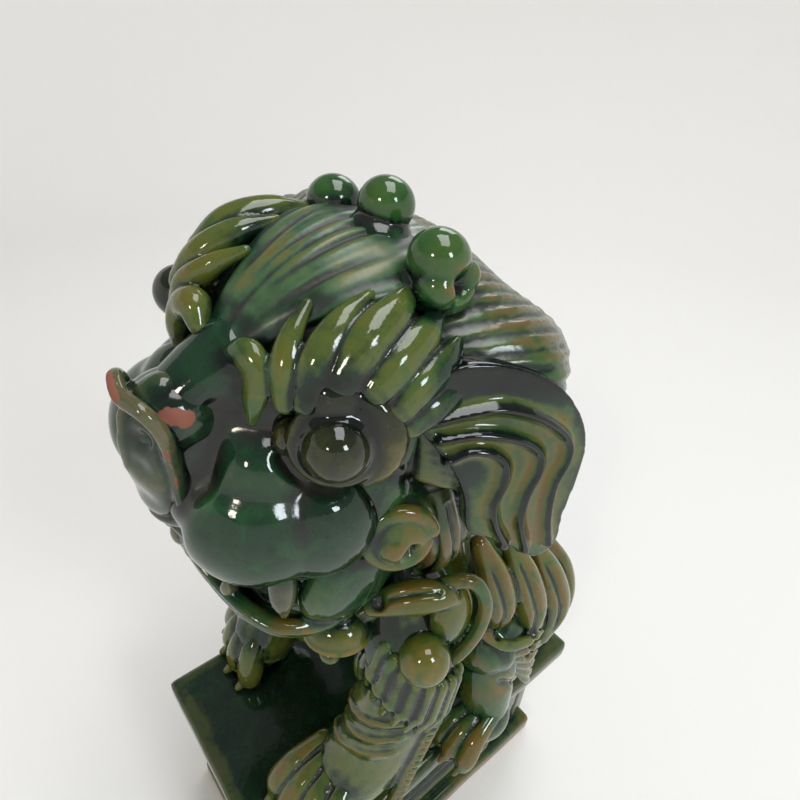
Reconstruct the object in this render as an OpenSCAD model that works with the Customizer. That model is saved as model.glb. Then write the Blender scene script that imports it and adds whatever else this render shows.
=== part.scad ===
// Guardian lion, or foo dog, sitting on a tall hollow plinth. Hollow stoneware, green lead glaze.
// Millimetres. The origin is the middle of the plinth's underside, +Z is up, the lion faces -Y,
// and its left side is +X. Every node is one piece of clay that a potter makes and then lutes on.

/* [Plinth] */
// Width of the top slab, side to side
plinth_w = 80; // [76:1:86]
// Length of the top slab, front to back
plinth_l = 131; // [126:1:140]
// Height of the whole plinth
plinth_h = 66; // [60:1:72]
// Thickness of the top slab
slab_t = 8; // [6:0.5:10]
// Thickness of the foot slab
foot_t = 8; // [6:0.5:10]
// How far the foot slab stands in from the top slab
foot_inset = 3.5; // [2:0.5:5]
// How far the walls of the waist stand in from the top slab
waist_inset = 7.5; // [6:0.5:10]
// Thickness of the plinth's walls
wall_t = 6; // [4:0.5:8]
// Radius of the firing vent in the foot slab
vent_r = 5; // [3:0.5:7]

/* [Body] */
// Thickness of the press-moulded body and head shells
shell_t = 5; // [4:0.5:7]
// Half the distance between the front legs
leg_x = 29; // [27:0.5:31]
// Half the distance between the hind paws
hind_x = 40; // [38:0.5:41]
// Radius of a front leg above its paw
leg_r = 12; // [11:0.5:13]

/* [Head] */
// Sideways place of the head's middle
head_x = 0.7; // [-2:0.1:2]
// Place of the head's middle, front to back
head_y = -15.7; // [-18:0.1:-13]
// Height of the head's middle above the plinth
head_z = 133.7; // [131:0.1:137]
// Turn of the head towards its left
head_yaw = 4.7; // [0:0.1:8]
// Tilt of the head towards its left shoulder
head_roll = 11.7; // [6:0.1:14]
// Radius of an eyeball
eye_r = 5.6; // [5:0.1:6.5]
// Radius of the little ball curls on the crown
knob_r = 6.2; // [5:0.1:7]

/* [Collar] */
// Radius of the bell, which hangs on the left of the chest
bell_r = 7.4; // [6.5:0.1:8]
// Radius of the ball tassels
tassel_r = 6.8; // [6:0.1:7.5]
// Thickness of the collar's strap
strap_r = 3.2; // [2.5:0.1:4]

/* [Hidden] */

green = [0.05, 0.20, 0.10];
dark_green = [0.03, 0.12, 0.07];
olive = [0.22, 0.27, 0.08];
amber = [0.36, 0.25, 0.07];
clay = [0.45, 0.20, 0.11];

waist_w = plinth_w - 2 * waist_inset;
waist_l = plinth_l - 2 * waist_inset;
waist_h = plinth_h - slab_t - foot_t;
vent_y = 32;

big_fn = 16;    // facets of a large blended form
small_fn = 10;  // facets of a strand or a curl
round_fn = 48;  // facets of an exact ball or ring

// One ball of clay: [x, y, z, radius]
module ball(b, fn) {
    translate([b[0], b[1], b[2]]) sphere(r = b[3], $fn = fn);
}

// A smooth lump drawn tight over all its balls
module lump(balls, fn = big_fn) {
    hull() for (b = balls) ball(b, fn);
}

// A rolled strand that follows its balls one after the other
module strand(balls, fn = small_fn) {
    for (i = [0 : len(balls) - 2]) lump([balls[i], balls[i + 1]], fn);
}

// Left side as drawn for side 1, right side as its mirror image for side -1
module on_side(side) {
    if (side > 0) children();
    else mirror([1, 0, 0]) children();
}

// Places a piece of the animal on top of the plinth
module on_plinth() {
    translate([0, 0, plinth_h]) children();
}

// Places a piece that is drawn around the middle of the level head
module on_head() {
    on_plinth() translate([head_x, head_y, head_z])
        rotate([0, 0, head_yaw]) rotate([0, head_roll, 0]) children();
}

// ---- Plinth: two slabs and four walls ----

module slab(w, l, t, edge) {
    hull() {
        translate([-w / 2, -l / 2, edge]) cube([w, l, t - 2 * edge]);
        translate([edge - w / 2, edge - l / 2, 0]) cube([w - 2 * edge, l - 2 * edge, t]);
    }
}

module plinth_top() {
    color(dark_green) translate([0, 0, plinth_h - slab_t]) slab(plinth_w, plinth_l, slab_t, 1);
}

module plinth_foot() {
    foot_w = plinth_w - 2 * foot_inset;
    foot_l = plinth_l - 2 * foot_inset;
    color(dark_green) difference() {
        translate([-foot_w / 2, -foot_l / 2, 0]) cube([foot_w, foot_l, foot_t]);
        translate([0, vent_y, -1]) cylinder(r = vent_r, h = foot_t + 2, $fn = round_fn);
    }
}

// A wall with a sunk panel on its outer face, drawn facing -Y around the middle of that face
module sunk_wall(w) {
    rim = 9;
    sink = 1.6;
    color(green) difference() {
        translate([-w / 2, 0, 0]) cube([w, wall_t, waist_h]);
        translate([rim - w / 2, -1, rim]) cube([w - 2 * rim, 1 + sink, waist_h - 2 * rim]);
    }
}

module plinth_wall_end(side) {
    translate([0, 0, foot_t]) rotate([0, 0, side > 0 ? 180 : 0]) translate([0, -waist_l / 2, 0])
        sunk_wall(waist_w);
}

module plinth_wall_flank(side) {
    translate([0, 0, foot_t]) rotate([0, 0, 90 * side]) translate([0, -waist_w / 2, 0])
        sunk_wall(waist_l - 2 * wall_t);
}

// ---- Body: two press-moulded halves, solid limbs ----

module torso_form(inset) {
    lump([
        [0, -16, 74, 25 - inset], [0, 6, 56, 27 - inset],
        [0, 34, 34, 31 - inset], [0, 30, 22, 26 - inset]
    ]);
}

module torso_half(side) {
    color(green) on_plinth() intersection() {
        difference() {
            torso_form(0);
            torso_form(shell_t);
        }
        on_side(side) translate([0, -100, 0]) cube([60, 200, 120]);
    }
}

module front_leg(side) {
    knee = [leg_x + 2, -23, 28, leg_r];
    color(green) on_plinth() on_side(side) {
        lump([[leg_x - 9, -14, 74, 15], [leg_x + 3.5, -17, 54, leg_r + 0.8], knee]);
        lump([knee, [leg_x - 3, -34, 13, leg_r - 1.5]]);
    }
}

// A paw with four toes side by side, drawn at the origin with its toes to -Y
module paw(w, l, h) {
    toes = 4;
    toe_r = w / (2 * toes) + 0.9;
    lump([[0, 0, h - 9, 9], [-w / 4, l * 0.1, 7, 7], [w / 4, l * 0.1, 7, 7]]);
    for (i = [0 : toes - 1]) {
        x = (i - (toes - 1) / 2) * w / toes;
        reach = l * 0.62 - abs(x) * 0.35;
        lump([[x, -l * 0.1, h - 9, toe_r + 1], [x * 1.15, -reach, toe_r, toe_r]], small_fn);
    }
}

module front_paw(side) {
    // The right paw is set a little further out and back than the left
    at = side > 0 ? [leg_x - 5, -36, 0] : [leg_x + 1, -34, 0];
    color(olive) on_plinth() on_side(side) translate(at) rotate([0, 0, 10]) paw(25, 26, 21);
}

module elbow_fringe(side) {
    rows = 5;
    color(amber) on_plinth() on_side(side) for (i = [0 : rows - 1])
        strand([
            [leg_x + 8 - i * 1.5, -9 - i * 3, 70 - i * 2, 4.4],
            [leg_x + 11 - i * 2.5, -14 - i * 3.6, 57 - i * 2.5, 3.4],
            [leg_x + 10 - i * 2.6, -18 - i * 3.8, 49 - i * 3, 1.8]
        ]);
}

module haunch(side) {
    color(green) on_plinth() on_side(side) {
        lump([[22, 40, 36, 20], [27, 30, 24, 16], [22, 48, 17, 16.5]]);
        lump([[27, 30, 22, 14], [36, 16, 14, 10]]);
    }
}

module hind_paw(side) {
    color(olive) on_plinth() on_side(side) translate([hind_x, 12, 0]) rotate([0, 0, -6])
        paw(18, 28, 17);
}

module flank_hair(side) {
    color(amber) on_plinth() on_side(side) for (i = [0 : 4])
        strand([
            [30 - i * 1.2, 14 + i * 7, 62 - i * 5, 5],
            [35 - i * 0.6, 24 + i * 7, 48 - i * 7, 4.4],
            [35.5 - i * 0.4, 36 + i * 5.2, 37 - i * 7, 3]
        ]);
}

module tail() {
    color(green) on_plinth() {
        lump([[0, 52, 34, 12], [0, 56, 60, 10]], small_fn);
        for (a = [-2 : 2])
            strand([
                [a * 4, 54, 44, 6], [a * 8, 58, 62, 6.2], [a * 8.5, 56, 78, 5.4],
                [a * 5.5, 52, 92 - abs(a) * 4, 3.4]
            ]);
    }
}

// ---- Head: shells, mouth and nose ----

module head_form(inset) {
    lump([
        [0, -2, 8, 28 - inset], [12, -6, 6, 23 - inset], [-12, -6, 6, 23 - inset],
        [0, 14, -6, 31 - inset], [0, -18, 4, 22 - inset], [0, 6, -24, 25 - inset]
    ]);
}

module head_shell() {
    color(green) on_head() difference() {
        head_form(0);
        head_form(shell_t);
    }
}

module snout() {
    color(dark_green) on_head() {
        lump([[0, -31, 4, 12], [9, -27, 4, 12], [-9, -27, 4, 12], [0, -18, 8, 17]]);
        for (side = [1, -1])
            lump([[side * 12, -32, -12, 13.5], [side * 20, -27, -11, 13], [side * 8, -30, -2, 12.5]]);
    }
}

module nose() {
    color(clay) on_head() lump([
        [3, -47.5, 15, 2.4], [-3, -47.5, 15, 2.4], [0, -45, -13, 3], [8, -42, 15, 2.4], [-8, -42, 15, 2.4],
        [8, -43, -8, 3], [-8, -43, -8, 3], [0, -36, 4, 9]
    ], small_fn);
}

module lower_jaw() {
    color(green) on_head() lump([
        [24, -30, -41, 4.5], [-24, -30, -41, 4.5], [9, -36.5, -42, 4.5], [-9, -36.5, -42, 4.5],
        [25, -11, -36, 9], [-25, -11, -36, 9], [0, -24, -46, 7]
    ], small_fn);
}

module tongue() {
    color(amber) on_head() lump([
        [0, -14, -31, 5], [7, -22, -32, 5], [-7, -22, -32, 5], [0, -36, -33.5, 4.5]
    ], small_fn);
}

// Places its child along the horseshoe of the mouth, at an angle from the middle of the lip
module on_mouth(angle) {
    rotate([0, 0, angle]) translate([0, -21 + abs(angle) * 0.04, 0]) children();
}

module teeth() {
    pitch = 14;
    color(olive) on_head() translate([0, -18, -29]) for (i = [-4 : 4])
        on_mouth(i * pitch) translate([0, 0, -5]) cylinder(r1 = 1.5, r2 = 2.3, h = 7, $fn = round_fn);
}

module fangs() {
    color(olive) on_head() translate([0, -18, -27]) for (side = [1, -1]) {
        on_mouth(side * 58) translate([0, 0, -11]) cylinder(r1 = 1, r2 = 3.6, h = 12, $fn = round_fn);
        on_mouth(side * 24) translate([0, 0, -14]) cylinder(r1 = 3, r2 = 0.8, h = 9, $fn = round_fn);
    }
}

// ---- Face: eyes, brows, ears and curls, each drawn for one side ----

// Points its child's +Z out of the left eye socket
module at_eye() {
    translate([27, -25, 14]) rotate([0, 0, 48]) rotate([72, 0, 0]) children();
}

module eyelid(side) {
    color(olive) on_head() on_side(side) at_eye()
        rotate_extrude($fn = round_fn) translate([eye_r + 0.6, 0]) circle(r = 1.9, $fn = 24);
}

module eyeball(side) {
    color(dark_green) on_head() on_side(side) at_eye() translate([0, 0, 1]) sphere(r = eye_r, $fn = round_fn);
}

// Six leaf-shaped tufts in a row over the eye, fat end forward and point swept back
module brow(side) {
    gaps = 5;
    color(amber) on_head() on_side(side) for (i = [0 : gaps]) {
        t = i / gaps;
        rise = 4.5 * sin(180 * t);
        strand([
            [18 + 14.5 * t, -29 + 17 * t, 21 - 3 * t + rise, 2.8],
            [16.5 + 16.5 * t, -25 + 18 * t, 26 - 6 * t + rise, 3.3],
            [11.5 + 20 * t, -19 + 22 * t, 31 - 9 * t + rise / 2, 1.6]
        ]);
    }
}

module forehead_crest() {
    color(green) on_head() for (side = [1, -1]) {
        lump([[side * 4, -28, 22, 3], [side * 6, -14, 32, 4], [side * 7, 4, 33.5, 4], [0, -8, 32, 4]], small_fn);
        lump([[side * 8, -25, 24, 2], [side * 14, -8, 32, 3], [side * 15, 4, 31.5, 3]], small_fn);
    }
}

// Lays its child on the ear's outer face: +X runs back along the top edge, +Y up, +Z out of the face
module at_ear() {
    translate([30, -10, 20]) rotate([0, 0, 63.4]) rotate([75, 0, 0]) children();
}

// A slab of even thickness, draped from the temple outwards and down
module ear(side) {
    r = 2.4;
    color(olive) on_head() on_side(side) at_ear() {
        lump([[1, -2, -r, r], [9, 5, -r, r], [22, 4.5, 0, r], [8, -10, -r, r], [19, -29, 0, r]], small_fn);
        lump([[22, 4.5, 0, r], [35, -5, -1, r], [37.4, -18, -1, r], [37, -38, -r, r], [31, -39.5, -r, r],
              [19, -30, 0, r], [17, -10, 0, r]], small_fn);
    }
}

module cheek_curl(side) {
    color(amber) on_head() on_side(side) translate([34.6, -9.8, -12]) rotate([0, 0, 57]) rotate([74, 0, 0]) {
        rotate_extrude($fn = round_fn) translate([5.6, 0]) circle(r = 3, $fn = 24);
        translate([0, 0, 1.5]) sphere(r = 4.4, $fn = round_fn);
    }
}

// A bi-lobed ball curl on the crown. The one on the right has slumped towards the parting.
module crown_curl(side) {
    color(olive) on_head() translate(side > 0 ? [0, 0, 0] : [2.6, 2.2, -4.2]) on_side(side) {
        translate([17.5, 1.5, 39.5]) sphere(r = knob_r, $fn = round_fn);
        translate([20.6, -1.2, 36]) sphere(r = knob_r * 0.75, $fn = round_fn);
    }
}

module crown_curl_middle() {
    color(olive) on_head() translate([-0.6, 4.6, 40.5]) sphere(r = knob_r, $fn = round_fn);
}

// ---- Mane, beard and collar ----

// A strand's ball on the egg-shaped back of the head: around counts sideways, back from face to nape
function on_mane(around, back, r) = [
    37 * sin(around) * sin(back), 8 - 31 * cos(back), 34 * cos(around) * sin(back), r
];

module mane_back() {
    color(amber) on_head() for (i = [-4 : 4]) {
        a = i * 20;
        strand([
            on_mane(a, 70, 3.6), on_mane(a * 1.08, 100, 4.2), on_mane(a * 1.16, 130, 4.2),
            on_mane(a * 1.24, 155, 3)
        ]);
    }
    // Strands that hang down over the nape
    color(amber) on_head() for (i = [-3 : 3]) {
        a = i * 24;
        strand([
            [34 * sin(a), 6 + 29 * cos(a), 8, 6], [35 * sin(a), 6 + 30 * cos(a), -10, 6],
            [32 * sin(a), 6 + 27 * cos(a), -30, 4]
        ]);
    }
}

module mane_side(side) {
    color(amber) on_head() on_side(side) for (i = [0 : 3])
        strand([
            [34 - i * 1.5, 8 + i * 8, -12, 5], [38 - i * 2.4, 10 + i * 9, -30, 5],
            [36 - i * 3, 10 + i * 9, -46 + i * 2, 3.2]
        ]);
}

module beard(side) {
    color(olive) on_head() on_side(side) for (i = [0 : 2])
        strand([
            [31 - i * 3, -14 - i * 7, -30 - i * 4, 4.5],
            [32 - i * 4, -12 - i * 8, -40 - i * 3, 4],
            [29 - i * 4, -12 - i * 8, -49 - i * 1.5, 2.4]
        ]);
}

module chin_tuft() {
    color(olive) on_head() for (x = [-5, 0, 5])
        strand([[x, -38, -46, 3.6], [x * 1.2, -35, -53, 2.2]]);
}

module collar() {
    color(olive) on_plinth() translate([0, -15, 84]) rotate([28, 0, 0])
        rotate_extrude($fn = round_fn) translate([27, 0]) circle(r = strap_r, $fn = 24);
}

bell_at = [22.3, -32.7, 74.5];

module bell() {
    slot_w = 1.6;
    color(olive) on_plinth() translate(bell_at) difference() {
        sphere(r = bell_r, $fn = round_fn);
        translate([-bell_r - 1, -slot_w / 2, -bell_r - 1]) cube([2 * bell_r + 2, slot_w, 4]);
    }
}

module bell_nub() {
    color(amber) on_plinth() translate(bell_at - [0, 0, bell_r]) sphere(r = 2.2, $fn = round_fn);
}

module tassel(side) {
    color(green) on_plinth() on_side(side) translate([40.3, -19, 72]) sphere(r = tassel_r, $fn = round_fn);
}

module scroll(side) {
    color(olive) on_plinth() on_side(side) strand([
        [22, -32, 88, 4], [31, -27, 92, 4.6], [38, -16, 92, 5], [42, -4, 86, 5.2],
        [42, 0, 76, 5], [39, -8, 68, 4.4]
    ]);
}

plinth_top();
plinth_foot();
plinth_wall_end(-1);  // plinth_wall_front
plinth_wall_end(1);  // plinth_wall_back
plinth_wall_flank(1);  // plinth_wall_left
plinth_wall_flank(-1);  // plinth_wall_right
torso_half(1);  // torso_left
torso_half(-1);  // torso_right
front_leg(1);  // front_leg_left
front_leg(-1);  // front_leg_right
front_paw(1);  // front_paw_left
front_paw(-1);  // front_paw_right
elbow_fringe(1);  // elbow_fringe_left
elbow_fringe(-1);  // elbow_fringe_right
haunch(1);  // haunch_left
haunch(-1);  // haunch_right
hind_paw(1);  // hind_paw_left
hind_paw(-1);  // hind_paw_right
flank_hair(1);  // flank_hair_left
flank_hair(-1);  // flank_hair_right
tail();
head_shell();
snout();
nose();
lower_jaw();
tongue();
teeth();
fangs();
eyelid(1);  // eyelid_left
eyelid(-1);  // eyelid_right
eyeball(1);  // eyeball_left
eyeball(-1);  // eyeball_right
brow(1);  // brow_left
brow(-1);  // brow_right
forehead_crest();
ear(1);  // ear_left
ear(-1);  // ear_right
cheek_curl(1);  // cheek_curl_left
cheek_curl(-1);  // cheek_curl_right
crown_curl(1);  // crown_curl_left
crown_curl_middle();
crown_curl(-1);  // crown_curl_right
mane_back();
mane_side(1);  // mane_left
mane_side(-1);  // mane_right
beard(1);  // beard_left
beard(-1);  // beard_right
chin_tuft();
collar();
bell();
bell_nub();
tassel(1);  // tassel_left
tassel(-1);  // tassel_right
scroll(1);  // scroll_left
scroll(-1);  // scroll_right
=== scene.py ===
# %% [markdown]
# A glazed guardian lion on a plinth, sculpted piece by piece.
#
# The real figure is clay: two moulded body shells and some fifty small pieces that a potter rolls, presses on
# and combs while they are wet. The whole is dipped in green lead glaze and fired. We work in the same order.
# Every piece is kneaded from balls and rolled ropes, fused into one skin, smoothed with a damp finger, and
# then combed and pressed. A glaze is painted last. It reads from each mesh where it would run thin or pool.

import math

import bpy
import numpy as np
from mathutils import Euler, Matrix, Vector


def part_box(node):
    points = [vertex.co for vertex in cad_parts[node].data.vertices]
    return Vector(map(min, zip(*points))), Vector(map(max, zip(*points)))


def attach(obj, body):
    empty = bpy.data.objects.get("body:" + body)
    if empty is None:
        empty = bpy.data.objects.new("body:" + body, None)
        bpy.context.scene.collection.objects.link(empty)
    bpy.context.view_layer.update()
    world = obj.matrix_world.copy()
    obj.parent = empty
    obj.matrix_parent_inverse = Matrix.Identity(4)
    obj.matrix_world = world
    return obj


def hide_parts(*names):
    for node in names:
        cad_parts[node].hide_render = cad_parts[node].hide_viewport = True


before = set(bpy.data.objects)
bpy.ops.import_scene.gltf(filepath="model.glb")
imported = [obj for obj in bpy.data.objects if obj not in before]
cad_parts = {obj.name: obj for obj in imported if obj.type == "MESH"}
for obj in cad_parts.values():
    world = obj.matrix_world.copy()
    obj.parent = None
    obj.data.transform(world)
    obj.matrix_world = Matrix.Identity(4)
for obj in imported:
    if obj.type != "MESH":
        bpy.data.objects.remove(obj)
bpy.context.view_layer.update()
print("the model has", len(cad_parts), "nodes")

# %% [markdown]
# The camera comes first, so that every later look is through the same eye. It is a wide lens held close to
# the lion's left cheek, looking down. A close wide view makes the head large and the feet small, so its
# distance matters as much as its angle.

# %% Camera
CAMERA_AT = (0.0955, -0.080, 0.269)
CAMERA_TURN = 49.0
CAMERA_PITCH = 33.6
CAMERA_ROLL = 3.5
LENS = 25.4


def rotation(degrees, axis):
    return Matrix.Rotation(math.radians(degrees), 4, axis)


def in_scene(name, data):
    """A new object in the scene that holds a mesh, curve, lamp or camera."""
    new_object = bpy.data.objects.new(name, data)
    bpy.context.scene.collection.objects.link(new_object)
    return new_object


camera = in_scene("camera", bpy.data.cameras.new("camera"))
camera.data.lens = LENS
camera.data.clip_start = 0.01
camera.matrix_world = (
    Matrix.Translation(CAMERA_AT)
    @ rotation(CAMERA_TURN, "Z")
    @ rotation(90 - CAMERA_PITCH, "X")
    @ rotation(CAMERA_ROLL, "Z")
)
bpy.context.scene.camera = camera
print("camera at", tuple(round(v, 3) for v in camera.location))

# %% [markdown]
# Glaze shows its form by what it mirrors, so the room matters. A pale floor runs up into a pale wall with no
# corner. A broad soft light hangs overhead, and two small bright ones give the sharp glints of a wet surface.

# %% Select and apply
def select_only(*pieces):
    bpy.ops.object.select_all(action="DESELECT")
    for piece in pieces:
        piece.select_set(True)
    bpy.context.view_layer.objects.active = pieces[0]


def apply_modifier(piece, kind, **settings):
    select_only(piece)
    modifier = piece.modifiers.new(kind, kind)
    for key, value in settings.items():
        setattr(modifier, key, value)
    bpy.ops.object.modifier_apply(modifier=modifier.name)


# %% Soft light
LIGHTS_AIM = Vector((0, 0, 0.15))


def light(name, at, size, power, colour=(1, 1, 1)):
    lamp = bpy.data.lights.new(name, "AREA")
    lamp.shape = "RECTANGLE"
    lamp.size, lamp.size_y = size
    lamp.energy = power
    lamp.color = colour
    lamp_object = in_scene(name, lamp)
    lamp_object.location = at
    lamp_object.rotation_euler = (LIGHTS_AIM - Vector(at)).to_track_quat("-Z", "Y").to_euler()


light("soft_top", (0.1, 0.2, 1.25), (0.9, 0.5), 7.5)
light("window", (0.86, 0.08, 0.80), (0.20, 0.26), 3.0, (0.88, 0.95, 1.0))
light("lamp", (0.34, -0.80, 0.78), (0.12, 0.12), 1.6, (1.0, 0.90, 0.76))
light("back_fill", (-0.6, 0.9, 0.9), (0.5, 0.5), 3)

bpy.context.scene.view_settings.view_transform = "Standard"
world = bpy.data.worlds.new("room")
world.use_nodes = True
world.node_tree.nodes["Background"].inputs["Color"].default_value = (0.93, 0.96, 1.0, 1)
world.node_tree.nodes["Background"].inputs["Strength"].default_value = 0.24
bpy.context.scene.world = world
print(len(bpy.data.lights), "lights hang in the room")


# %% A pale room
def turned_profile(name, profile):
    """A surface of revolution from (radius, height) pairs, spun around Z."""
    mesh = bpy.data.meshes.new(name)
    mesh.from_pydata([(r, 0, z) for r, z in profile], [(i, i + 1) for i in range(len(profile) - 1)], [])
    piece = in_scene(name, mesh)
    apply_modifier(piece, "SCREW", steps=TURN_STEPS, render_steps=TURN_STEPS, use_merge_vertices=True,
                   use_smooth_shade=True)
    return piece


TURN_STEPS = 96
ROOM_RADIUS = 1.15
WALL_TOP = 0.75
SWEEP = 0.35
sweep = [(ROOM_RADIUS - SWEEP + SWEEP * math.sin(a), SWEEP - SWEEP * math.cos(a))
         for a in np.linspace(0, math.pi / 2, 12)]
floor = turned_profile("floor", [(0, 0)] + sweep + [(ROOM_RADIUS, WALL_TOP)])
print("the floor meets the wall in a sweep of radius", SWEEP, "m")

# %% [markdown]
# Wet clay needs only a few moves. A ball is squeezed and placed. A rope follows a smooth path and swells and
# thins along it. Kneading fuses any number of both: a voxel remesh makes one even skin of small squares and a
# smooth modifier melts the joins. Work is in millimetres, the potter's unit, and ends as metres in place.

# %% Clay: balls
MM = 0.001
bpy.ops.object.select_all(action="DESELECT")
bpy.ops.mesh.primitive_uv_sphere_add(segments=72, ring_count=44, radius=1)
unit_ball = bpy.context.object
unit_ball.name = "unit_ball"


def ball(at, size, turn=(0, 0, 0)):
    """A ball squeezed to three half-sizes, turned in degrees, placed in millimetres."""
    size = (size,) * 3 if np.isscalar(size) else size
    piece = unit_ball.copy()
    piece.data = unit_ball.data.copy()
    turned = Euler([math.radians(a) for a in turn])
    piece.data.transform(Matrix.LocRotScale(Vector(at), turned, Vector(size)))
    bpy.context.scene.collection.objects.link(piece)
    return piece


def both_sides(at, size, turn=(0, 0, 0)):
    """The same ball on the left and, mirrored, on the right."""
    x, y, z = at
    return [ball(at, size, turn), ball((-x, y, z), size, (turn[0], -turn[1], -turn[2]))]


print("a ball has", len(unit_ball.data.polygons), "faces")


# %% Clay: smooth paths and ropes
def smooth_path(points, steps=6):
    """Catmull-Rom through rows of any width, end rows repeated, so the curve meets every row."""
    p = np.asarray(points, float)
    p = np.vstack([2 * p[0] - p[1], p, 2 * p[-1] - p[-2]])
    t = np.linspace(0, 1, steps, endpoint=False)[:, None]
    pieces = []
    for a, b, c, d in zip(p[:-3], p[1:-2], p[2:-1], p[3:]):
        pieces.append(0.5 * (2 * b + (c - a) * t + (2 * a - 5 * b + 4 * c - d) * t**2
                             + (3 * b - a - 3 * c + d) * t**3))
    return np.vstack(pieces + [p[-2][None]])


def round_ends(path):
    """Adds a dome to both ends of an (x, y, z, radius) path."""
    def dome(end, before):
        away = (end[:3] - before[:3]) / max(np.linalg.norm(end[:3] - before[:3]), 1e-9)
        angles = np.radians([35, 62, 84])
        return np.array([[*(end[:3] + away * end[3] * math.sin(a)), end[3] * math.cos(a)] for a in angles])
    return np.vstack([dome(path[0], path[1])[::-1], path, dome(path[-1], path[-2])])


def ropes(strands):
    """Rolled ropes as one mesh. Each strand is a list of (x, y, z, radius) rows."""
    curve = bpy.data.curves.new("ropes", "CURVE")
    curve.dimensions = "3D"
    curve.bevel_depth = 1.0
    curve.bevel_resolution = 8
    curve.use_fill_caps = True
    for strand in strands:
        path = round_ends(smooth_path(strand))
        path[:, 3] = np.maximum(path[:, 3], 0.05)
        spline = curve.splines.new("POLY")
        spline.points.add(len(path) - 1)
        spline.points.foreach_set("co", np.c_[path[:, :3], np.ones(len(path))].ravel())
        spline.points.foreach_set("radius", path[:, 3].copy())
    piece = in_scene("ropes", curve)
    select_only(piece)
    bpy.ops.object.convert(target="MESH")
    return piece


# %% Clay: knead, read and move the skin
def knead(name, forms, grain, soften=3):
    """Fuses the forms into one closed skin of squares about grain millimetres wide."""
    select_only(*forms)
    if len(forms) > 1:
        bpy.ops.object.join()
    piece = bpy.context.view_layer.objects.active
    piece.name = piece.data.name = name
    apply_modifier(piece, "REMESH", mode="VOXEL", voxel_size=grain, use_smooth_shade=True)
    if soften:
        apply_modifier(piece, "SMOOTH", factor=0.5, iterations=soften)
    return piece


def skin_of(piece):
    """Points and outward normals of a piece, as arrays."""
    count = len(piece.data.vertices)
    points, normals = np.empty(count * 3, np.float32), np.empty(count * 3, np.float32)
    piece.data.vertices.foreach_get("co", points)
    piece.data.vertex_normals.foreach_get("vector", normals)
    return points.reshape(-1, 3).astype(float), normals.reshape(-1, 3).astype(float)


def set_skin(piece, points):
    piece.data.vertices.foreach_set("co", points.astype(np.float32).ravel())
    piece.data.update()


def distance_to(points, path, reach):
    """Distance from each point to a path, never more than reach."""
    low, high = path.min(0) - reach, path.max(0) + reach
    near = np.flatnonzero(((points > low) & (points < high)).all(1))
    close = points[near]
    best = np.full(len(near), reach, float)
    for a, b in zip(path[:-1], path[1:]):
        along = b - a
        t = np.clip(((close - a) @ along) / max(along @ along, 1e-9), 0, 1)
        best = np.minimum(best, np.linalg.norm(close - a - t[:, None] * along, axis=1))
    far = np.full(len(points), reach, float)
    far[near] = best
    return far


# %% Clay: comb and press
def comb(piece, lines, width, depth, steps=6):
    """Presses a round-bottomed groove along each line; a negative depth raises a ridge."""
    points, normals = skin_of(piece)
    cut = np.zeros(len(points))
    for line in lines:
        path = smooth_path(line, steps)
        away = distance_to(points, path, 2.5 * width)
        cut = np.maximum(cut, np.exp(-(away / width) ** 2))
    set_skin(piece, points - normals * (depth * cut)[:, None])


def press(piece, dents):
    """Pushes soft dents: each is (x, y, z, radius, push x, push y, push z)."""
    points, _ = skin_of(piece)
    moved = points.copy()
    for dent in dents:
        dent = np.asarray(dent, float)
        away = np.linalg.norm(points - dent[:3], axis=1) / dent[3]
        moved += np.exp(-away**2)[:, None] * dent[4:7]
    set_skin(piece, moved)


def mirrored(piece, name):
    """A right-hand copy of a left-hand piece, with its own mesh and its faces outwards."""
    twin = piece.copy()
    twin.data = piece.data.copy()
    twin.name = twin.data.name = name
    twin.data.transform(Matrix.Scale(-1, 4, (1, 0, 0)))
    twin.data.flip_normals()
    bpy.context.scene.collection.objects.link(twin)
    return twin


print("clay tools are ready")
# %% [markdown]
# The head is drawn level, around its own middle, and set on the neck with a turn and a tilt. Both are read
# back from the frame: the line through the two eyeballs is the head's left-right axis, and the eyes sit at a
# known place in the level drawing. So if the head tilts in the design, every curl tilts with it.

# %% The head's own frame
def middle(node):
    low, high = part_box(node)
    return (low + high) / 2


EYE = Vector((27.3, -25.6, 14.3))
across = (middle("eyeball_left") - middle("eyeball_right")).normalized()
yaw = math.atan2(across.y, across.x)
tilt = -math.asin(across.z)
head_turn = Matrix.Rotation(yaw, 4, "Z") @ Matrix.Rotation(tilt, 4, "Y")
head_middle = (middle("eyeball_left") + middle("eyeball_right")) / 2
head_middle -= head_turn @ (Vector((0, EYE.y, EYE.z)) * MM)
ON_HEAD = Matrix.Translation(head_middle) @ head_turn @ Matrix.Scale(MM, 4)
plinth_top_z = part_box("plinth_top")[1].z
ON_PLINTH = Matrix.Translation((0, 0, plinth_top_z)) @ Matrix.Scale(MM, 4)
pieces = {}


def place(piece, node, frame_matrix, finish):
    """Puts a finished piece in the row frame, rides it on the root body and hides its CAD solid."""
    piece.name = piece.data.name = node + "_clay"
    piece.data.transform(frame_matrix)
    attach(piece, "root")
    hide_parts(node)
    pieces[node] = piece
    piece["finish"] = finish
    print(f"{node}: {len(piece.data.polygons)} faces")


def place_pair(piece, node, frame_matrix, finish):
    """Places a left piece and its mirror image on the right."""
    twin = mirrored(piece, node + "_right")
    place(piece, node + "_left", frame_matrix, finish)
    place(twin, node + "_right", frame_matrix, finish)


def both(path):
    """A path on the left, and the same path mirrored to the right."""
    return [path, [(-row[0], *row[1:]) for row in path]]


def across(half, centre):
    """A path from the left side, through a spot on the middle line, to the right side."""
    return [*half, centre, *((-x, y, z) for x, y, z in half[::-1])]


print("head turns", round(math.degrees(yaw), 1), "and tilts", round(math.degrees(tilt), 1))

# %% [markdown]
# The skull is a moulded hollow shell, but only its outside shows. It is wider than it is high, and flat at
# the temples where the ears go on.

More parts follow.
